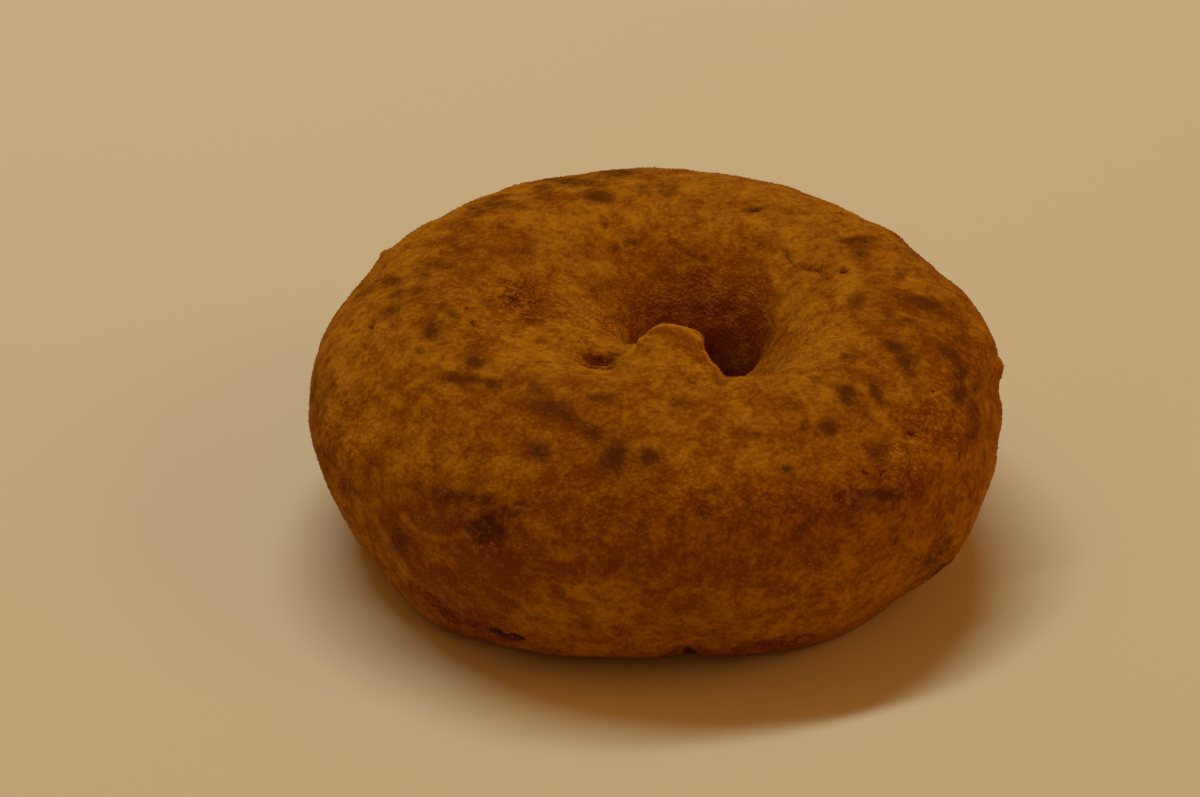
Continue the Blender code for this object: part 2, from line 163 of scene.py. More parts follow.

# Wide stretches where the flour lies thicker, or thinner where the amount is negative, given like the
# dark spots and added up where they overlap. Many are painted light rather than flour: the darker
# ones in the hole and on its far and right walls, on the tip's right side, partly along the lower
# front wall and in a band along the foot's bottom edge are painted shade. The lighter ones on the
# lower right paint light thrown up from the floor, and the pale line along the ramp's crest is a
# painted highlight
FLOUR_COVER_AND_PAINTED_LIGHT = (
    (690, 272, 76, 46, 0, -0.34), (650, 560, 180, 44, 0, -0.25), (450, 548, 70, 48, 20, -0.36),
    (815, 508, 44, 20, 0, -0.30), (925, 320, 60, 34, 35, -0.25), (880, 316, 34, 20, 0, -0.15),
    (960, 380, 26, 60, 0, -0.20), (510, 420, 70, 28, 8, -0.32), (350, 500, 30, 60, -25, -0.15),
    (470, 620, 60, 14, 22, -0.30), (490, 585, 45, 34, 0, -0.22), (790, 648, 50, 6, -5, -0.10),
    (600, 500, 140, 22, 0, -0.15), (600, 472, 44, 22, 0, -0.22), (870, 490, 50, 24, 0, -0.15),
    (860, 260, 60, 26, 20, -0.08), (690, 405, 60, 14, 0, -0.12), (490, 250, 50, 20, 0, -0.38),
    # The stretch at (764, 335) is painted shade on the hole's right wall
    (440, 310, 60, 50, 0, -0.12), (764, 335, 18, 34, 0, -0.35), (450, 392, 50, 22, 0, -0.22),
    (675, 590, 34, 20, 0, -0.20), (770, 490, 30, 16, 0, -0.22), (520, 384, 30, 20, 0, -0.12),
    # The stretches at (905, 605) and (835, 610) paint light thrown onto the lower right from the
    # floor
    (905, 605, 60, 36, -25, 0.40), (600, 602, 36, 20, 0, 0.34), (835, 610, 44, 26, 0, 0.15),
    (700, 235, 40, 24, 0, 0.12), (610, 345, 30, 14, 0, 0.15), (525, 353, 40, 5, 8, 0.18),
    (625, 452, 30, 22, 0, -0.15), (568, 418, 30, 20, 0, -0.12), (864, 370, 40, 26, 0, -0.15),
    # The stretches at (681, 342) and (672, 330) paint shade on the tip's right side
    (764, 385, 24, 14, 0, -0.15), (670, 288, 26, 16, 0, -0.14), (681, 342, 12, 13, 0, -0.46),
    (672, 330, 14, 5, 0, -0.26), (505, 290, 12, 7, 0, 0.20), (548, 309, 15, 9, 0, -0.50),
    (552, 572, 22, 9, -10, -0.45), (750, 330, 12, 20, 0, -0.30), (672, 358, 26, 14, 0, 0.18),
    (820, 355, 34, 18, 0, 0.08), (690, 205, 80, 22, 0, 0.04), (500, 260, 60, 28, 0, -0.10),
    (820, 545, 30, 20, 0, -0.22), (760, 342, 14, 20, 0, -0.20), (640, 298, 28, 22, 0, -0.22),
    (818, 548, 20, 14, 0, -0.20), (694, 491, 16, 12, 0, 0.32), (410, 497, 12, 9, 0, 0.32),
    (557, 522, 18, 12, 0, 0.32), (628, 391, 16, 8, 0, -0.34), (722, 311, 13, 16, 0, 0.36),
    (541, 416, 13, 11, 0, -0.34), (706, 257, 16, 10, 0, 0.34), (673, 393, 16, 8, 0, -0.34),
    (782, 597, 16, 12, 0, -0.34), (756, 358, 8, 12, 0, -0.34), (498, 427, 16, 12, 0, -0.38),
    # The stretch at (675, 665) is painted shade along the foot's bottom edge
    (525, 496, 14, 8, 0, 0.30), (675, 665, 110, 4, 0, -0.45), (600, 264, 26, 20, 0, -0.15),
    (560, 424, 20, 14, 0, -0.14), (640, 545, 24, 14, 0, 0.15), (560, 546, 22, 14, 0, 0.18),
    (578, 364, 10, 5, 0, 0.34), (379, 524, 14, 12, 0, -0.32), (656, 444, 10, 6, 0, 0.34),
    (813, 444, 10, 8, 0, 0.34), (757, 327, 8, 14, 0, -0.30), (652, 570, 16, 10, 0, -0.30),
    (935, 514, 14, 16, 0, -0.30), (832, 520, 14, 8, 0, -0.28), (978, 402, 8, 12, 0, -0.34),
    (864, 341, 12, 8, 0, -0.30), (955, 559, 12, 8, 0, -0.30), (672, 216, 14, 8, 0, 0.30),
    (388, 290, 14, 8, 0, -0.28), (375, 363, 13, 8, 0, -0.30), (665, 535, 12, 8, 0, 0.32),
    (697, 533, 12, 8, 0, -0.30), (427, 627, 12, 6, 40, 0.55), (705, 609, 22, 12, 0, -0.28),
    (633, 604, 12, 8, 0, -0.30), (578, 314, 12, 9, 0, -0.28), (375, 411, 12, 8, 0, -0.28),
    (401, 432, 12, 8, 0, 0.28), (885, 473, 12, 8, 0, -0.28), (711, 515, 12, 8, 0, -0.25),
    (940, 575, 14, 8, -40, -0.35), (461, 606, 16, 7, 30, -0.30), (823, 612, 16, 10, 0, -0.30),
    (541, 333, 14, 7, 0, 0.32), (616, 318, 10, 8, 0, -0.30), (765, 278, 10, 10, 0, -0.30),
    (735, 389, 14, 6, 0, -0.30), (688, 563, 16, 8, 0, -0.30), (591, 650, 14, 6, 0, 0.30),
    (605, 401, 12, 6, 0, -0.30), (668, 413, 13, 7, 0, -0.30), (766, 389, 14, 7, 0, -0.30),
    (638, 202, 12, 8, 0, -0.30), (600, 426, 9, 6, 0, 0.25), (555, 420, 14, 7, 10, -0.30),
    (935, 333, 12, 7, 0, 0.26), (885, 580, 20, 16, 0, 0.10), (530, 204, 16, 8, 0, -0.20),
    (350, 362, 16, 16, 0, 0.20), (630, 622, 70, 16, 0, -0.15), (640, 465, 80, 24, 0, -0.12),
    (572, 419, 12, 8, 35, -0.15),
)

# Where the crust crumbles into round crumbs, given like the dark spots
CRUMBLY_SPOTS = (
    (521, 298, 24, 20, 0, 1.00), (911, 466, 8, 32, 0, 1.00), (490, 345, 50, 9, 18, 0.80),
    (590, 330, 40, 20, 0, 0.55), (500, 300, 90, 56, 0, 0.30), (450, 612, 26, 7, 38, 1.00),
    (500, 636, 24, 5, 18, 0.80), (785, 643, 30, 5, -8, 0.80), (900, 470, 22, 32, 0, 0.70),
    (935, 420, 22, 34, 0, 0.60), (345, 440, 20, 44, 0, 0.50), (478, 545, 26, 18, 0, 0.60),
    (830, 345, 44, 34, 0, 0.40), (690, 368, 60, 16, 0, 0.40), (930, 555, 24, 16, -40, 0.60),
    (840, 590, 50, 30, 0, 0.35),
)

# Where the crust stays smooth within a rough stretch
SMOOTH_SPOTS = ((604, 358, 26, 14, 0, 1.0),)

# Pale rims of flour, partly painted highlights along edges that catch the light, at the hollow's near
# lip, round the tip and along the lobe on the front wall: pixels along the line, half-width in
# pixels, amount
PALE_RIMS_AND_HIGHLIGHTS = (
    (((581, 360), (588, 367), (598, 371), (608, 370), (616, 365), (624, 358), (635, 346)), 2.0, 0.50),
    (((635, 344), (645, 333), (655, 326), (668, 324), (680, 326), (690, 331), (700, 338), (704, 345),
      (707, 353), (713, 362), (721, 372), (735, 376), (750, 372)), 1.8, 0.55),
    (((402, 514), (408, 524), (420, 532), (440, 541), (455, 538), (470, 533)), 2.6, 0.45),
    (((572, 592), (580, 585), (600, 589), (612, 582), (628, 585), (638, 594)), 3.0, 0.45),
    (((488, 641), (505, 645), (520, 649), (540, 652)), 2.0, 0.30),
)

# Deep red-brown stains, given like the dark spots; those in the notch at the foot and along the slit
# beside it are painted shade
DEEP_STAINS_AND_SHADE = (
    (487, 529, 23, 17, 10, 0.72), (502, 514, 17, 8, 0, 0.52), (462, 501, 32, 6, 6, 0.46),
    (398, 540, 9, 11, -10, 0.30), (690, 651, 9, 3.5, 0, 1.00), (447, 611, 18, 3, 40, 0.45),
    (506, 637, 13, 3.5, 17, 1.00),
)

# Dents that show on the outline: pixel, half-height in pixels, depth in tenths of a millimetre
OUTLINE_DENTS = ((1000, 390, 10, 4.5), (713, 353, 10, 4.4))
DENT_HALF_DEPTH = 6.0 * MM  # how far a dent runs towards and away from the camera
DENT_EDGE = 1.6  # where it has died out up, down and in depth, in its half-sizes
DENT_SIDE_EDGE = 1.8  # and to the sides

# The near lip of the hollow beside the tip: pixel, and how far the hollow reaches up from it
HOLLOW_LIP = (
    (579, 356, 0), (588, 365, 12), (598, 368, 15), (608, 367, 15), (615, 362, 14), (622, 358, 12),
    (629, 350, 8), (636, 343, 0),
)
HOLLOW_MIDDLE = HOLLOW_LIP[2][:2]
HOLLOW_DEPTH = 1.6 * MM
HOLLOW_FULL_REACH = 12.0  # pixels of reach from which it is at full depth
HOLLOW_NEAR_WALL = 0.35  # share of the reach over which its near wall drops
HOLLOW_FAR_END = 1.2  # where its far slope ends, in reaches
HOLLOW_FAR_SLOPE = 0.8  # and how long that slope is
LIP_HEIGHT = 0.25 * MM
LIP_SHIFT = 0.10  # the raised lip's middle lies this far before the line, in reaches
LIP_HALF_WIDTH = 0.25

# Small forms on the crust: pixel, reach in pixels, then how far they stand out, rise and
# lean right, in tenths of a millimetre
PULLS = (
    (641, 338, 12, 0, 2, -5), (712, 353, 11, -2, -2, -5), (385, 251, 11, 0, 2, -6),
    (412, 233, 26, 4, 2, 0), (432, 221, 22, 3, 2, 0), (318, 450, 14, 2, 0, -1),
    (324, 470, 12, 2, 0, -1), (1000, 365, 16, 0, 1, 6), (999, 427, 9, 0, 0, 2),
    (992, 474, 44, 0, 0, 6), (860, 232, 18, 2, 2, 1), (885, 238, 14, 0, -3, -2),
    (470, 200, 14, 0, 3, 0), (522, 300, 26, -5, -2, 0), (530, 318, 10, -6, 0, 0),
    (517, 298, 9, -5, 0, 0), (536, 299, 9, -5, 0, 0), (505, 290, 12, 3, 2, 0),
    (527, 306, 8, 3, 0, 0), (505, 640, 18, -5, 4, 0), (500, 626, 20, 5, 0, 0),
    (520, 632, 16, 4, 0, 0), (780, 642, 18, -5, 3, 0), (775, 631, 22, 4, 0, 0),
    (815, 628, 16, 3, 0, 0), (922, 572, 20, -5, 0, 0), (948, 562, 14, 4, 0, 0),
    (897, 541, 9, -6, 0, 0), (487, 522, 22, -5, 0, 0), (455, 505, 28, 4, 0, 0),
    (610, 602, 42, 4, 0, 0), (575, 585, 20, 2, 0, 0), (690, 652, 16, -10, 7, 0),
    (672, 332, 18, 2, -3, 0), (684, 326, 13, 0, -4, 0), (405, 522, 9, 3, 0, 0),
    (420, 533, 9, 3, 0, 0), (440, 541, 9, 3, 0, 0), (462, 537, 9, 3, 0, 0), (585, 586, 10, 3, 0, 0),
    (602, 590, 10, 2, 0, 0), (618, 584, 10, 3, 0, 0), (633, 592, 10, 2, 0, 0),
)
TENTH = 0.1  # of a millimetre

# What the camera sees near a mark's pixel tells the mark's depth
PIXEL_REACH = 2.0  # a vertex this near to a pixel counts as lying at it
NEAR_PIXELS = 6.0
SAME_SIDE_DEPTH = 9 * MM  # a mark stays on its side of the hole: it runs no deeper than this

SPOT_CORE = 0.35  # share of a spot's half-size over which it is at full strength
SPOT_EDGE = 1.65  # and where it has died out
LINE_EDGE = 1.6  # where a line has died out, in its half-widths
DARK_GROWTH = 1.33  # dark spots are drawn this much larger than given, with a small core
DARK_CORE = 0.06
HALO_GROWTH = 2.1  # and have a fainter ring round them
HALO_SHARE = 0.38
PIT_GROWTH = 0.8
CRACK_SHARE = 0.6  # a crack's depth and darkness beside a pit's

# Marks that the camera doesn't see: seed, count, smallest and largest reach, greatest strength
HIDDEN_DARK = (5, 46, 1.2 * MM, 3.2 * MM, 0.7)
HIDDEN_BARE = (8, 7, 1.2 * MM, 2.4 * MM, 0.8)
HIDDEN_THIN = (13, 14, 6 * MM, 12 * MM, 0.35)
HIDDEN_PITS = (21, 26, 0.3 * MM, 0.6 * MM, 0.9)
HIDDEN_ROUGH = (34, 12, 3 * MM, 7 * MM, 0.9)
HIDDEN_WEAKEST = 0.5  # the weakest mark beside the greatest strength
HIDDEN_CRUMBLE = 0.8  # how much the rough ones crumble
HIDDEN_BOTTOM = 4 * MM  # they keep this far above the table
THROAT_REACH = 22 * MM  # and this far from the ring's middle, clear of the hole and the tip

# How far marks keep loose flour off
DARK_OFF_GRAINS = 0.8
BARE_OFF_GRAINS = 0.6
DARK_OFF_CRUMBS = 0.6

# Relief of the crust: the size of its forms, and how far they stand out or sink in
LUMP_SIZE = 3.2 * MM
LUMP_HEIGHT = 0.34 * MM
CREASE_SIZE = 1.1 * MM
CREASE_HEIGHT = 0.11 * MM
KNOB_SIZE = 1.4 * MM
KNOB_HEIGHT = 0.40 * MM
PIT_DEPTH = 0.60 * MM
CLOUD_LEVEL = 0.5  # the pattern's value where the crust keeps its own level
KNOB_LEVEL = 0.35
REST_FADE = 1.5 * MM  # the relief dies out over this height above the table

# The dough's mesh
MERGE_REACH = 0.01 * MM
PAIR_FOLD = 0.9  # radians by which a pair of triangles may fold and still make a quad
PAIR_SKEW = 1.2  # and by which the quad's corners may differ from each other
FINER_LEVELS = 2
GROUP_STEPS = 100  # the weights in a vertex group are rounded to this many steps

# Colours, as linear red, green, blue and alpha
CRUST = (0.220, 0.058, 0.001, 1.0)
PALE_FLOUR = (0.545, 0.236, 0.008, 1.0)
SOAKED_AND_SHADE = (0.107, 0.031, 0.003, 1.0)
BARE_CRUST = (0.162, 0.032, 0.002, 1.0)
# The deep colour is a real stain, and painted shade in pits, cracks and the notch and slit at the
# foot
DEEP_STAIN_AND_SHADE = (0.076, 0.022, 0.004, 1.0)
TOASTED_GRAIN = (0.360, 0.100, 0.002, 1.0)
PALE_GRAIN = (0.640, 0.280, 0.012, 1.0)
PALE_FLOOR = (0.80, 0.78, 0.72, 1.0)

# Patterns of the crust: their sizes, then their weights in its colour and in its fine relief
PATCH_SIZE = 5.5 * MM
BLOTCH_SIZE = 2.4 * MM
BLOTCH_TWIST = 0.3
MOTTLE_SIZE = 1.0 * MM
CLOD_SIZE = 0.75 * MM
BEAD_SIZE = 0.50 * MM
GRANULE_MEAN = 0.45  # of the distance to the nearest granule's middle
GRANULE_SOFTNESS = 0.6
COVER_WEIGHTS = {
    "patches": 1.1, "blotches": 1.5, "mottle": 0.9, "beads": 0.7, "rough_clods": 0.9, "marks": 1.0,
}
RELIEF_WEIGHTS = {"mottle": 0.7, "beads": 1.1, "rough_clods": 1.6, "bare_clods": 1.8}
COVER_RANGE = (0.95, 2.55)  # from toasted crust to pale flour
RELIEF_STRENGTH = 0.60
RELIEF_DEPTH = 0.20 * MM

# Marks in the material: how ragged they are, and the values from which they begin and are full
MARKS = ("Dark", "Bare", "Deep", "Cover_And_Painted_Light", "Rough")
MARK_EDGES = {"Dark": (1.1, 0.05, 0.85), "Bare": (1.4, 0.15, 0.85), "Deep": (1.2, 0.15, 0.90)}
RAGGED_SIZE = 1.3 * MM
RAGGED_DETAIL = 3.0
RAGGED_ROUGHNESS = 0.65
RAGGED_MEAN = 0.5
RAGGED_OUTSIDE = 0.35  # how ragged a mark is beyond its own edge
SOAKED_AND_SHADE_SHARE = 0.95
BARE_SHARE = 0.40  # how much bare crust shows on the clods of flour
BARE_BETWEEN_SHARE = 0.45  # and how much more of it between them
BETWEEN_CLODS = (-0.15, 0.15)

# How dull the surfaces are
FLOUR_ROUGHNESS = 0.95
FLOUR_SHINE = 0.08
FLOOR_ROUGHNESS = 0.9
FLOOR_SHINE = 0.1

# Loose flour: the attribute that says where it lies, how many a square millimetre where that
# is 1, smallest and largest size, height beside the size, seed
FINE_GRAINS = ("dusting", 2.4, 0.20 * MM, 0.34 * MM, 0.8, 11)
COARSE_GRAINS = ("dusting", 1.7, 0.30 * MM, 0.44 * MM, 0.7, 23)
CRUMBS = ("crumbling", 4.0, 0.36 * MM, 0.62 * MM, 0.8, 31)
GRAIN_OWN_COLOUR = 0.25  # the rest is the colour of the crust under it
CRUMB_OWN_COLOUR = 0.40

# One grain and one crumb, both 1 across before they are strewn
HALF_ACROSS = 0.5
GRAIN_SIDES = 5
GRAIN_HEIGHT = 0.5
GRAIN_MIDDLE = 0.2  # above the crust
CRUMB_SINK = 0.22  # its middle, below the crust
CRUMB_UNEVENNESS = 0.10
CRUMB_SEED = 3

# Soft lights that hang level: name, place, length, width, turn in degrees, power, colour
KEY_COLOUR = (1.0, 1.0, 0.70)
ROOM_COLOUR = (1.0, 0.41, 0.08)
LIGHTS = (
    ("tube", (-0.11, 0.22, 0.92), 0.66, 0.08, 24.0, 3.64, KEY_COLOUR),
    ("left_fill", (-0.45, -0.05, 0.75), 0.30, 0.30, 0.0, 0.36, ROOM_COLOUR),
    ("right_fill", (0.55, -0.15, 0.45), 0.30, 0.30, 0.0, 0.85, ROOM_COLOUR),
)
ROOM_STRENGTH = 0.21
FLOOR_SIZE = 4.0


def smooth_step(values):
    """0 below 0, 1 above 1, and a smooth rise between them."""
    values = np.clip(values, 0.0, 1.0)
    return values * values * (3.0 - 2.0 * values)


class PhotoView:
    """The camera's place and axes, and where it sees points of the dough."""

    def __init__(self):
        self.right = Vector((1.0, 0.0, 0.0))
        self.forward = Vector((0.0, math.cos(ELEVATION), -math.sin(ELEVATION)))
        self.up = self.right.cross(self.forward)
        self.focal = LENS / SENSOR * PHOTO_WIDTH
        across = (AIM_PIXEL[0] - PHOTO_WIDTH / 2) * DISTANCE / self.focal
        down = (AIM_PIXEL[1] - PHOTO_HEIGHT / 2) * DISTANCE / self.focal
        self.place = AIM - self.forward * DISTANCE - self.right * across + self.up * down

    def look(self, points, normals):
        """Keeps the pixel and depth of every point, and whether it faces the camera."""
        from_camera = points - np.array(self.place)
        self.depth = from_camera @ np.array(self.forward)
        self.x = PHOTO_WIDTH / 2 + self.focal * (from_camera @ np.array(self.right)) / self.depth
        self.y = PHOTO_HEIGHT / 2 - self.focal * (from_camera @ np.array(self.up)) / self.depth
        self.facing = np.einsum("ij,ij->i", normals, -from_camera) > 0.0

    def spot(self, x, y, half_length, half_height, turn):
        """How far each point is from a spot's middle, in its own half-sizes, if it can be seen."""
        angle = math.radians(turn)
        right = self.x - x
        down = self.y - y
        along = (right * math.cos(angle) + down * math.sin(angle)) / half_length
        across = (down * math.cos(angle) - right * math.sin(angle)) / half_height
        distance = np.hypot(along, across)
        near = self.facing & (np.hypot(right, down) < NEAR_PIXELS)
        if not near.any():
            return np.full(len(self.x), np.inf)
        same_side = np.abs(self.depth - self.depth[near].min()) < SAME_SIDE_DEPTH
        return np.where(self.facing & same_side, distance, np.inf)

    def nearest_vertex(self, x, y):
        """The vertex that the camera sees at this pixel."""
        away = np.hypot(self.x - x, self.y - y) + np.where(self.facing, 0.0, np.inf)
        at_pixel = away < away.min() + PIXEL_REACH
        return int(np.argmin(np.where(at_pixel, self.depth, np.inf)))


def spot_share(distance, core=SPOT_CORE):
    """1 up to a spot's core, dying out at its edge."""
    return smooth_step((SPOT_EDGE - distance) / (SPOT_EDGE - core))


def soft_spots(view, spots, growth=1.0, core=SPOT_CORE):
    """The strength of the strongest spot at each point."""
    strength = np.zeros(len(view.x))
    for x, y, half_length, half_height, turn, most in spots:
        distance = view.spot(x, y, half_length * growth, half_height * growth, turn)
        strength = np.maximum(strength, most * spot_share(distance, core))
    return strength


def summed_spots(view, spots):
    """The amounts of all spots at each point, added up."""
    amount = np.zeros(len(view.x))
    for x, y, half_length, half_height, turn, most in spots:
        distance = view.spot(x, y, half_length, half_height, turn)
        amount += most * spot_share(distance)
    return amount


def soft_lines(view, lines):
    """The strength of the strongest line at each point, from round spots strung along it."""
    strength = np.zeros(len(view.x))
    for line, half_width, most in lines:
        for start, end in zip(line, line[1:]):
            length = math.dist(start, end)
            steps = max(round(length / half_width), 1)
            for step in range(steps + 1):
                x = start[0] + (end[0] - start[0]) * step / steps
                y = start[1] + (end[1] - start[1]) * step / steps
                distance = view.spot(x, y, half_width, half_width, 0)
                strength = np.maximum(strength, most * smooth_step(LINE_EDGE - distance))
    return strength


def hidden_marks(points, view, seed, count, smallest, largest, most):
    """Round marks at random places that the camera doesn't see, the same on each run."""
    chance = np.random.default_rng(seed)
    off_tip = np.hypot(points[:, 0], points[:, 1]) > THROAT_REACH
    unseen = np.flatnonzero(~view.facing & off_tip & (points[:, 2] > HIDDEN_BOTTOM))
    strength = np.zeros(len(points))
    for middle in chance.choice(unseen, count, replace=False):
        reach = chance.uniform(smallest, largest)
        away = np.linalg.norm(points - points[middle], axis=1) / reach
        share = spot_share(away)
        strength = np.maximum(strength, chance.uniform(HIDDEN_WEAKEST, 1.0) * most * share)
    return np.where(view.facing, 0.0, strength)


def select_only(piece):
    bpy.ops.object.select_all(action="DESELECT")
    piece.select_set(True)
    bpy.context.view_layer.objects.active = piece


def apply_modifier(piece, modifier):
    select_only(piece)
    bpy.ops.object.modifier_apply(modifier=modifier.name)


def points_and_normals(piece):
    mesh = piece.data
    points = np.empty(len(mesh.vertices) * 3)
    normals = np.empty(len(mesh.vertices) * 3)
    mesh.vertices.foreach_get("co", points)
    mesh.vertices.foreach_get("normal", normals)
    return points.reshape(-1, 3), normals.reshape(-1, 3)


def weight_group(piece, name, weights):
    """Makes a vertex group that holds these weights, and gives back its name."""
    group = piece.vertex_groups.new(name=name)
    levels = np.round(np.clip(weights, 0.0, 1.0) * GROUP_STEPS).astype(int)
    for level in np.unique(levels[levels > 0]):
        members = np.flatnonzero(levels == level).tolist()
        group.add(members, float(level) / GROUP_STEPS, "REPLACE")
    return name


def keep_attribute(piece, name, values):
    """A value at each vertex that the material can read."""
    attribute = piece.data.attributes.new(name, "FLOAT", "POINT")
    attribute.data.foreach_set("value", np.ascontiguousarray(values, dtype=np.float32))


def displace(dough, name, group, strength, texture=None, level=0.0, direction="NORMAL"):
    """Pushes a group of the dough along its normals, or an axis, by a strength in metres.

    A texture varies the push: where it has the level's value, nothing moves.
    """
    modifier = dough.modifiers.new(name, "DISPLACE")
    modifier.direction = direction
    modifier.texture = texture
    modifier.texture_coords = "LOCAL"
    modifier.strength = strength
    modifier.mid_level = level
    modifier.vertex_group = group
    apply_modifier(dough, modifier)


def cloud_texture(name, size):
    texture = bpy.data.textures.new(name, "CLOUDS")
    texture.noise_scale = size
    texture.noise_depth = 1
    return texture


def knob_texture(name, size):
    texture = bpy.data.textures.new(name, "VORONOI")
    texture.noise_scale = size
    return texture


def copy_of_dough(node):
    """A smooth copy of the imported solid, with quads where its triangles pair up."""
    dough = bpy.data.objects.new("dusted_dough", node.data.copy())
    bpy.context.scene.collection.objects.link(dough)
    dough.data.materials.clear()
    select_only(dough)
    bpy.ops.object.mode_set(mode="EDIT")
    bpy.ops.mesh.select_all(action="SELECT")
    bpy.ops.mesh.remove_doubles(threshold=MERGE_REACH)
    bpy.ops.mesh.tris_convert_to_quads(face_threshold=PAIR_FOLD, shape_threshold=PAIR_SKEW)
    bpy.ops.object.mode_set(mode="OBJECT")
    finer = dough.modifiers.new("finer", "SUBSURF")
    finer.levels = FINER_LEVELS
    finer.render_levels = FINER_LEVELS
    apply_modifier(dough, finer)
    select_only(dough)
    bpy.ops.object.shade_smooth()
    return dough


def press_dents(dough, view):
    """Presses in the dents that show on the outline."""
    view.look(*points_and_normals(dough))
    for number, (x, y, half_height, depth) in enumerate(OUTLINE_DENTS):
        middle = view.depth[view.nearest_vertex(x, y)]
        share = smooth_step(DENT_EDGE - np.abs(view.y - y) / half_height)
        share *= smooth_step(DENT_EDGE - np.abs(view.depth - middle) / DENT_HALF_DEPTH)
        share *= smooth_step(DENT_SIDE_EDGE - np.abs(view.x - x) / half_height)
        group = weight_group(dough, f"dent_{number}", share)
        displace(dough, group, group, -depth * TENTH * MM)


def press_hollow(dough, view):
    """Presses in the hollow beside the tip, steep behind its near lip, and raises the lip."""
    view.look(*points_and_normals(dough))
    line = np.array(HOLLOW_LIP, dtype=float)
    lip = np.interp(view.x, line[:, 0], line[:, 1])
    reach = np.interp(view.x, line[:, 0], line[:, 2])
    behind = (lip - view.y) / np.maximum(reach, 1.0)
    depth = view.depth[view.nearest_vertex(*HOLLOW_MIDDLE)]
    here = view.facing & (reach > 0.0) & (np.abs(view.depth - depth) < SAME_SIDE_DEPTH)
    fullness = here * smooth_step(reach / HOLLOW_FULL_REACH)
    near_wall = smooth_step(behind / HOLLOW_NEAR_WALL)
    far_slope = smooth_step((HOLLOW_FAR_END - behind) / HOLLOW_FAR_SLOPE)
    sunk = weight_group(dough, "sunk", fullness * near_wall * far_slope)
    lip_share = smooth_step(1.0 - np.abs(behind + LIP_SHIFT) / LIP_HALF_WIDTH)
    raised = weight_group(dough, "raised", fullness * lip_share)
    displace(dough, "hollow", sunk, -HOLLOW_DEPTH, direction="Z")
    displace(dough, "lip", raised, LIP_HEIGHT, direction="Z")


def pull_forms(dough, view):
    """Draws the crust out or in round each form's pixel, dying out at the form's reach."""
    points, normals = points_and_normals(dough)
    view.look(points, normals)
    select_only(dough)
    bpy.ops.object.mode_set(mode="EDIT")
    bpy.ops.mesh.select_mode(type="VERT")
    for x, y, reach, outward, up, right in PULLS:
        nearest = view.nearest_vertex(x, y)
        bpy.ops.mesh.select_all(action="DESELECT")
        vertices = bmesh.from_edit_mesh(dough.data).verts
        vertices.ensure_lookup_table()
        vertices[nearest].select_set(True)
        move = Vector(normals[nearest]) * outward + Vector((right, 0.0, up))
        bpy.ops.transform.translate(
            value=move * TENTH * MM,
            use_proportional_edit=True,
            proportional_edit_falloff="SMOOTH",
            proportional_size=reach * view.depth[nearest] / view.focal,
        )
    bpy.ops.object.mode_set(mode="OBJECT")


def crust_marks(points, view):
    """The strength of each kind of mark at each point, seen by the camera or not."""
    dark = soft_spots(view, DARK_SPOTS, DARK_GROWTH, DARK_CORE)
    dark = np.maximum(dark, HALO_SHARE * soft_spots(view, DARK_SPOTS, HALO_GROWTH))
    dark = np.maximum(dark, hidden_marks(points, view, *HIDDEN_DARK))
    bare = np.maximum(soft_spots(view, BARE_SPOTS), hidden_marks(points, view, *HIDDEN_BARE))
    # The cover carries painted shade and painted light besides the thickness of the flour
    cover_and_painted_light = summed_spots(view, FLOUR_COVER_AND_PAINTED_LIGHT)
    cover_and_painted_light -= hidden_marks(points, view, *HIDDEN_THIN)
    # The pale rims are partly painted highlights
    cover_and_painted_light += soft_lines(view, PALE_RIMS_AND_HIGHLIGHTS)
    pits = soft_spots(view, PITS, PIT_GROWTH)
    pits = np.maximum(pits, hidden_marks(points, view, *HIDDEN_PITS))
    rough = soft_spots(view, ROUGH_SPOTS) * (1.0 - soft_spots(view, SMOOTH_SPOTS))
    rough = np.maximum(rough, hidden_marks(points, view, *HIDDEN_ROUGH))
    hidden_crumbs = HIDDEN_CRUMBLE * np.where(view.facing, 0.0, rough)
    return {
        "dark": dark,
        "bare": bare,
        "cover_and_painted_light": cover_and_painted_light,
        "pits": pits,
        "rough": rough,
        "cracks": CRACK_SHARE * soft_lines(view, CRACKS),
        "stains_and_shade": soft_spots(view, DEEP_STAINS_AND_SHADE),
        "crumbly": np.maximum(soft_spots(view, CRUMBLY_SPOTS), hidden_crumbs),
    }


def keep_marks(dough, marks, above_rest):
    """Keeps the marks for the material, and says where loose grains and crumbs lie."""
    for name in ("cover_and_painted_light", "rough", "dark", "bare"):
        keep_attribute(dough, name, marks[name])
    # Pits, cracks and deep stains make one mark that darkens the crust; in pits and cracks this is
    # painted shade
    deep = np.maximum.reduce((marks["pits"], marks["cracks"], marks["stains_and_shade"]))
    keep_attribute(dough, "deep", deep)
    grains_off = np.maximum.reduce(
        (DARK_OFF_GRAINS * marks["dark"], BARE_OFF_GRAINS * marks["bare"], marks["stains_and_shade"])
    )
    grains_off = np.clip(grains_off, 0.0, 1.0)
    keep_attribute(dough, "dusting", above_rest * (1.0 - grains_off) ** 2)
    crumbs_off = np.maximum(DARK_OFF_CRUMBS * marks["dark"], marks["stains_and_shade"])
    keep_attribute(dough, "crumbling", above_rest * marks["crumbly"] * (1.0 - crumbs_off))


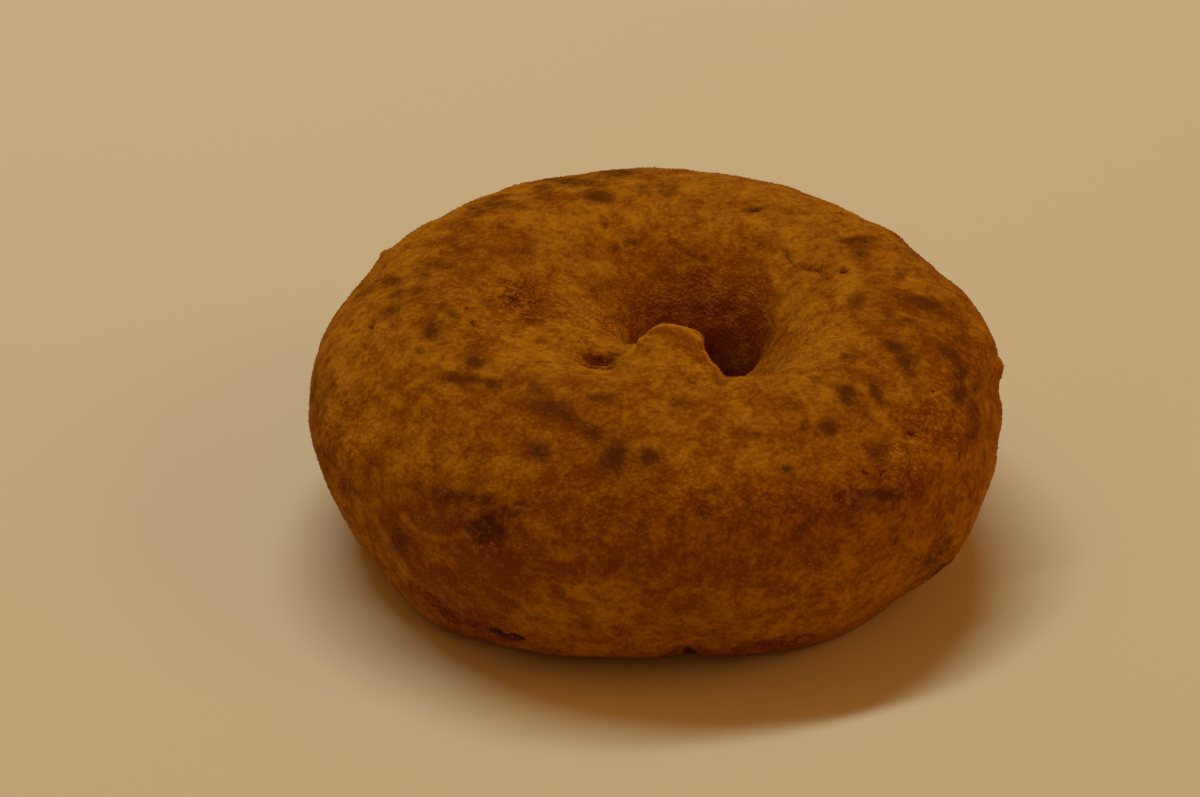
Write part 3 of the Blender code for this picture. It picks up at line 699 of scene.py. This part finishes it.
def give_relief(dough, marks, above_rest):
    """Lumps and creases all over, knobs where the crust is rough, and the pits and cracks."""
    whole = weight_group(dough, "whole", above_rest)
    knobbly = weight_group(dough, "knobbly", marks["rough"] * above_rest)
    sunken = weight_group(dough, "sunken", np.maximum(marks["pits"], marks["cracks"]) * above_rest)
    displace(dough, "lumps", whole, LUMP_HEIGHT, cloud_texture("lumps", LUMP_SIZE), CLOUD_LEVEL)
    creases = cloud_texture("creases", CREASE_SIZE)
    displace(dough, "creases", whole, CREASE_HEIGHT, creases, CLOUD_LEVEL)
    displace(dough, "knobs", knobbly, -KNOB_HEIGHT, knob_texture("knobs", KNOB_SIZE), KNOB_LEVEL)
    displace(dough, "holes", sunken, -PIT_DEPTH)


def shape_crust(dough, view):
    """Shapes the small forms, then marks the crust and gives it relief by its marks."""
    press_dents(dough, view)
    press_hollow(dough, view)
    pull_forms(dough, view)
    points, normals = points_and_normals(dough)
    view.look(points, normals)
    above_rest = smooth_step(points[:, 2] / REST_FADE)
    marks = crust_marks(points, view)
    keep_marks(dough, marks, above_rest)
    give_relief(dough, marks, above_rest)


def add_node(tree, kind, **inputs):
    """A new node with the named inputs set."""
    node = tree.nodes.new(kind)
    for name, value in inputs.items():
        node.inputs[name].default_value = value
    return node


def math_node(tree, operation, first, second):
    """One sum. Each value is a number or another node's output."""
    node = tree.nodes.new("ShaderNodeMath")
    node.operation = operation
    for socket, value in zip(node.inputs, (first, second)):
        if isinstance(value, (int, float)):
            socket.default_value = value
        else:
            tree.links.new(value, socket)
    return node.outputs[0]


def mix_colours(tree, share, first, second):
    """A Mix node on colours. Each colour is a tuple or another node's output."""
    node = tree.nodes.new("ShaderNodeMix")
    node.data_type = "RGBA"
    # Sockets of one name follow for each kind of data, so the colours go by number
    sockets = (node.inputs["Factor"], node.inputs[6], node.inputs[7])
    for socket, value in zip(sockets, (share, first, second)):
        if isinstance(value, (int, float, tuple)):
            socket.default_value = value
        else:
            tree.links.new(value, socket)
    return node.outputs[2]


def spread(tree, value, low, high):
    """The value moved from low..high to 0..1, with soft ends."""
    node = tree.nodes.new("ShaderNodeMapRange")
    node.interpolation_type = "SMOOTHSTEP"
    node.inputs["From Min"].default_value = low
    node.inputs["From Max"].default_value = high
    tree.links.new(value, node.inputs["Value"])
    return node.outputs["Result"]


def noise(tree, vector, size, detail=1.0, roughness=0.5, distortion=0.0):
    node = add_node(
        tree,
        "ShaderNodeTexNoise",
        Scale=1.0 / size,
        Detail=detail,
        Roughness=roughness,
        Distortion=distortion,
    )
    tree.links.new(vector, node.inputs["Vector"])
    return node.outputs["Fac"]


def granules(tree, vector, size):
    """Positive on round granules of the given size, negative in the gaps between them."""
    node = add_node(tree, "ShaderNodeTexVoronoi", Scale=1.0 / size)
    node.feature = "SMOOTH_F1"
    node.inputs["Smoothness"].default_value = GRANULE_SOFTNESS
    tree.links.new(vector, node.inputs["Vector"])
    return math_node(tree, "SUBTRACT", GRANULE_MEAN, node.outputs["Distance"])


def add_up(tree, values, weights):
    """The sum of the weighted values."""
    total = 0.0
    for name, weight in weights.items():
        total = math_node(tree, "ADD", math_node(tree, "MULTIPLY", values[name], weight), total)
    return total


def marked(tree, mark, ragged, raggedness, low, high):
    """Where a kind of mark shows, with a ragged edge."""
    uneven = math_node(tree, "MULTIPLY", math_node(tree, "MULTIPLY", ragged, raggedness), mark)
    edge = math_node(tree, "MULTIPLY", ragged, raggedness * RAGGED_OUTSIDE)
    value = math_node(tree, "ADD", math_node(tree, "ADD", mark, uneven), edge)
    return spread(tree, value, low, high)


def attribute_value(tree, name):
    node = tree.nodes.new("ShaderNodeAttribute")
    node.attribute_name = name
    return node.outputs["Fac"]


def crust_patterns(tree, start):
    """The patterns of the crust, from wide patches down to beads of flour."""
    place = start["Vector"]
    clods = granules(tree, place, CLOD_SIZE)
    return {
        "patches": noise(tree, place, PATCH_SIZE),
        "blotches": noise(tree, place, BLOTCH_SIZE, distortion=BLOTCH_TWIST),
        "mottle": noise(tree, place, MOTTLE_SIZE),
        "beads": granules(tree, place, BEAD_SIZE),
        "clods": clods,
        "rough_clods": math_node(tree, "MULTIPLY", clods, start["Rough"]),
        "bare_clods": math_node(tree, "MULTIPLY", clods, start["Bare"]),
        "marks": start["Cover_And_Painted_Light"],
    }


def crust_colour(tree, start, patterns):
    """Pale flour over toasted crust, with the dark, bare and deep marks on it. The cover also carries
    painted shade and painted light, and the dark, bare and deep marks also paint shade in the hollow
    beside the tip, in pits and in cracks.
    """
    cover_and_painted_light = add_up(tree, patterns, COVER_WEIGHTS)
    colour = mix_colours(tree, spread(tree, cover_and_painted_light, *COVER_RANGE), CRUST, PALE_FLOUR)
    ragged = noise(tree, start["Vector"], RAGGED_SIZE, RAGGED_DETAIL, RAGGED_ROUGHNESS)
    ragged = math_node(tree, "SUBTRACT", ragged, RAGGED_MEAN)
    dark, bare, deep = (
        marked(tree, start[name], ragged, *edges) for name, edges in MARK_EDGES.items()
    )
    between = math_node(tree, "MULTIPLY", patterns["clods"], -1.0)
    between = spread(tree, between, *BETWEEN_CLODS)
    more = math_node(tree, "MULTIPLY", between, BARE_BETWEEN_SHARE)
    showing = math_node(tree, "ADD", BARE_SHARE, more)
    # The dark mark's colour is soaked fat, and painted shade in the hollow beside the tip
    colour = mix_colours(tree, math_node(tree, "MULTIPLY", dark, SOAKED_AND_SHADE_SHARE), colour, SOAKED_AND_SHADE)
    colour = mix_colours(tree, math_node(tree, "MULTIPLY", bare, showing), colour, BARE_CRUST)
    # The deep colour paints shade into pits and cracks besides real stains
    return mix_colours(tree, deep, colour, DEEP_STAIN_AND_SHADE)


def floured_crust_group():
    """Colour and fine relief of floured crust, from a position and the marks at that place."""
    group = bpy.data.node_groups.new("floured_crust", "ShaderNodeTree")
    group.interface.new_socket("Vector", in_out="INPUT", socket_type="NodeSocketVector")
    for name in MARKS:
        group.interface.new_socket(name, in_out="INPUT", socket_type="NodeSocketFloat")
    group.interface.new_socket("Color", in_out="OUTPUT", socket_type="NodeSocketColor")
    group.interface.new_socket("Relief", in_out="OUTPUT", socket_type="NodeSocketFloat")
    start = group.nodes.new("NodeGroupInput").outputs
    end = group.nodes.new("NodeGroupOutput").inputs
    patterns = crust_patterns(group, start)
    group.links.new(crust_colour(group, start, patterns), end["Color"])
    group.links.new(add_up(group, patterns, RELIEF_WEIGHTS), end["Relief"])
    return group


def floured_crust(tree, group):
    """The group in a material, fed with the place on the object and the marks kept there."""
    node = tree.nodes.new("ShaderNodeGroup")
    node.node_tree = group
    place = tree.nodes.new("ShaderNodeTexCoord").outputs["Object"]
    tree.links.new(place, node.inputs["Vector"])
    for name in MARKS:
        tree.links.new(attribute_value(tree, name.lower()), node.inputs[name])
    return node


def matte_shader(material, roughness, shine):
    """The material's shader, dull all over."""
    material.use_nodes = True
    shader = material.node_tree.nodes["Principled BSDF"]
    shader.inputs["Roughness"].default_value = roughness
    shader.inputs["Specular IOR Level"].default_value = shine
    return shader


def dough_material(group):
    material = bpy.data.materials.new("dusted_dough")
    shader = matte_shader(material, FLOUR_ROUGHNESS, FLOUR_SHINE)
    tree = material.node_tree
    crust = floured_crust(tree, group)
    tree.links.new(crust.outputs["Color"], shader.inputs["Base Color"])
    bump = add_node(tree, "ShaderNodeBump", Strength=RELIEF_STRENGTH, Distance=RELIEF_DEPTH)
    tree.links.new(crust.outputs["Relief"], bump.inputs["Height"])
    tree.links.new(bump.outputs["Normal"], shader.inputs["Normal"])
    return material


def grain_material(name, group, share):
    """Grains of the crust's colour where they lie, with a share of their own: toasted or pale."""
    material = bpy.data.materials.new(name)
    shader = matte_shader(material, FLOUR_ROUGHNESS, FLOUR_SHINE)
    tree = material.node_tree
    crust = floured_crust(tree, group)
    own = mix_colours(tree, attribute_value(tree, "tint"), TOASTED_GRAIN, PALE_GRAIN)
    colour = mix_colours(tree, share, crust.outputs["Color"], own)
    tree.links.new(colour, shader.inputs["Base Color"])
    return material


def floor_material():
    material = bpy.data.materials.new("pale_floor")
    shader = matte_shader(material, FLOOR_ROUGHNESS, FLOOR_SHINE)
    shader.inputs["Base Color"].default_value = PALE_FLOOR
    return material


def low_grain(name):
    """A low grain, 1 across, that stands on its rim."""
    bpy.ops.object.select_all(action="DESELECT")
    bpy.ops.mesh.primitive_cone_add(
        vertices=GRAIN_SIDES,
        radius1=HALF_ACROSS,
        radius2=0.0,
        depth=GRAIN_HEIGHT,
        end_fill_type="NOTHING",
        location=(0, 0, GRAIN_MIDDLE),
    )
    grain = bpy.context.object
    grain.name = name
    bpy.ops.object.transform_apply(location=True)
    bpy.ops.object.shade_smooth()
    return grain


def round_crumb(name):
    """A small uneven crumb, 1 across, sunk a little in the crust."""
    bpy.ops.object.select_all(action="DESELECT")
    bpy.ops.mesh.primitive_ico_sphere_add(
        subdivisions=1, radius=HALF_ACROSS, location=(0, 0, -CRUMB_SINK)
    )
    crumb = bpy.context.object
    crumb.name = name
    bpy.ops.object.mode_set(mode="EDIT")
    bpy.ops.mesh.select_all(action="SELECT")
    bpy.ops.transform.vertex_random(
        offset=CRUMB_UNEVENNESS, uniform=1.0, normal=0.0, seed=CRUMB_SEED
    )
    bpy.ops.object.mode_set(mode="OBJECT")
    bpy.ops.object.transform_apply(location=True)
    bpy.ops.object.shade_smooth()
    return crumb


def random_number(tree, seed):
    """A random number from 0 to 1 for each point, the same on each run."""
    node = tree.nodes.new("FunctionNodeRandomValue")
    node.data_type = "FLOAT"
    # Output 0 is the vector and 1 the number
    node.inputs["Seed"].default_value = seed
    return node.outputs[1]


def random_vector(tree, low, high, seed):
    """A random vector for each point, the same on each run."""
    node = tree.nodes.new("FunctionNodeRandomValue")
    node.data_type = "FLOAT_VECTOR"
    node.inputs[0].default_value = low
    node.inputs[1].default_value = high
    node.inputs["Seed"].default_value = seed
    return node.outputs[0]


def shape_of(tree, piece):
    """A piece's mesh inside Geometry Nodes."""
    node = tree.nodes.new("GeometryNodeObjectInfo")
    node.inputs["Object"].default_value = piece
    return node.outputs["Geometry"]


def strewn_points(tree, crust, where, per_square_mm, seed):
    """Points strewn over the crust, by the attribute named in where."""
    thickness = tree.nodes.new("GeometryNodeInputNamedAttribute")
    thickness.inputs["Name"].default_value = where
    density = math_node(tree, "MULTIPLY", thickness.outputs["Attribute"], per_square_mm / MM ** 2)
    points = tree.nodes.new("GeometryNodeDistributePointsOnFaces")
    points.inputs["Seed"].default_value = seed
    tree.links.new(shape_of(tree, crust), points.inputs["Mesh"])
    tree.links.new(density, points.inputs["Density"])
    return points.outputs


def with_tint(tree, points, seed):
    """The points with a random number kept in each, which tints its grain."""
    tinted = tree.nodes.new("GeometryNodeStoreNamedAttribute")
    tinted.inputs["Name"].default_value = "tint"
    tree.links.new(points, tinted.inputs["Geometry"])
    tree.links.new(random_number(tree, seed), tinted.inputs["Value"])
    return tinted.outputs["Geometry"]


def with_spin(tree, rotation, seed):
    """The rotation with a random turn about its own upright."""
    turn = tree.nodes.new("FunctionNodeRotateRotation")
    turn.rotation_space = "LOCAL"
    tree.links.new(rotation, turn.inputs["Rotation"])
    spin = random_vector(tree, (0.0, 0.0, 0.0), (0.0, 0.0, math.tau), seed)
    tree.links.new(spin, turn.inputs["Rotate By"])
    return turn.outputs["Rotation"]


def scatter_tree(name, crust, grain, where, per_square_mm, smallest, largest, height, seed):
    """Geometry Nodes that strew copies of one grain over the crust."""
    tree = bpy.data.node_groups.new(name, "GeometryNodeTree")
    tree.interface.new_socket("Geometry", in_out="OUTPUT", socket_type="NodeSocketGeometry")
    points = strewn_points(tree, crust, where, per_square_mm, seed)
    low = (smallest, smallest, smallest * height)
    high = (largest, largest, largest * height)
    copies = tree.nodes.new("GeometryNodeInstanceOnPoints")
    tree.links.new(with_tint(tree, points["Points"], seed + 1), copies.inputs["Points"])
    tree.links.new(shape_of(tree, grain), copies.inputs["Instance"])
    tree.links.new(with_spin(tree, points["Rotation"], seed + 2), copies.inputs["Rotation"])
    tree.links.new(random_vector(tree, low, high, seed + 3), copies.inputs["Scale"])
    real = tree.nodes.new("GeometryNodeRealizeInstances")
    tree.links.new(copies.outputs["Instances"], real.inputs["Geometry"])
    tree.links.new(real.outputs["Geometry"], tree.nodes.new("NodeGroupOutput").inputs["Geometry"])
    return tree


def strew(name, crust, grain, kind, material):
    """A piece of loose grains of one kind that lie on the crust, partly sunk in it."""
    bpy.ops.object.select_all(action="DESELECT")
    bpy.ops.mesh.primitive_plane_add(size=1 * MM, location=(0.0, 0.0, 0.0))
    grains = bpy.context.object
    grains.name = name
    modifier = grains.modifiers.new(name, "NODES")
    modifier.node_group = scatter_tree(name, crust, grain, *kind)
    apply_modifier(grains, modifier)
    grains.data.materials.clear()
    grains.data.materials.append(material)
    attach(grains, "root")
    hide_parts("doughnut")


def add_flour(crust, group):
    """The loose flour: a coat of low grains, and crumbs where the crust crumbles."""
    grain = low_grain("one_grain")
    crumb = round_crumb("one_crumb")
    coat = grain_material("flour_grains", group, GRAIN_OWN_COLOUR)
    crumbs = grain_material("crust_crumbs", group, CRUMB_OWN_COLOUR)
    strew("fine_grains", crust, grain, FINE_GRAINS, coat)
    strew("coarse_grains", crust, grain, COARSE_GRAINS, coat)
    strew("crumbs", crust, crumb, CRUMBS, crumbs)
    bpy.data.objects.remove(grain)
    bpy.data.objects.remove(crumb)


def add_floor():
    bpy.ops.mesh.primitive_plane_add(size=FLOOR_SIZE, location=(0.0, 0.0, 0.0))
    floor = bpy.context.object
    floor.name = "floor"
    floor.data.materials.append(floor_material())


def add_light(name, place, length, width, turn, power, colour):
    """A soft light that hangs level, its length turned away from the x axis."""
    light = bpy.data.lights.new(name, "AREA")
    light.shape = "RECTANGLE"
    light.size = length
    light.size_y = width
    light.energy = power
    light.color = colour
    lamp = bpy.data.objects.new(name, light)
    bpy.context.scene.collection.objects.link(lamp)
    lamp.location = place
    lamp.rotation_euler = (0.0, 0.0, math.radians(turn))


def add_lights():
    """The hanging lights, and the warm room round them."""
    for values in LIGHTS:
        add_light(*values)
    world = bpy.data.worlds.new("studio")
    bpy.context.scene.world = world
    world.use_nodes = True
    sky = world.node_tree.nodes["Background"]
    sky.inputs["Color"].default_value = (*ROOM_COLOUR, 1.0)
    sky.inputs["Strength"].default_value = ROOM_STRENGTH


def add_camera(view):
    camera = bpy.data.cameras.new("camera")
    camera.lens = LENS
    camera.sensor_width = SENSOR
    holder = bpy.data.objects.new("camera", camera)
    bpy.context.scene.collection.objects.link(holder)
    holder.location = view.place
    holder.rotation_euler = view.forward.to_track_quat("-Z", "Y").to_euler()
    bpy.context.scene.camera = holder


def main():
    view = PhotoView()
    dough = copy_of_dough(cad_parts["doughnut"])
    shape_crust(dough, view)
    group = floured_crust_group()
    dough.data.materials.append(dough_material(group))
    add_flour(dough, group)
    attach(dough, "root")
    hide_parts("doughnut")
    add_floor()
    add_lights()
    add_camera(view)
    bpy.context.scene.view_settings.view_transform = "Standard"


main()
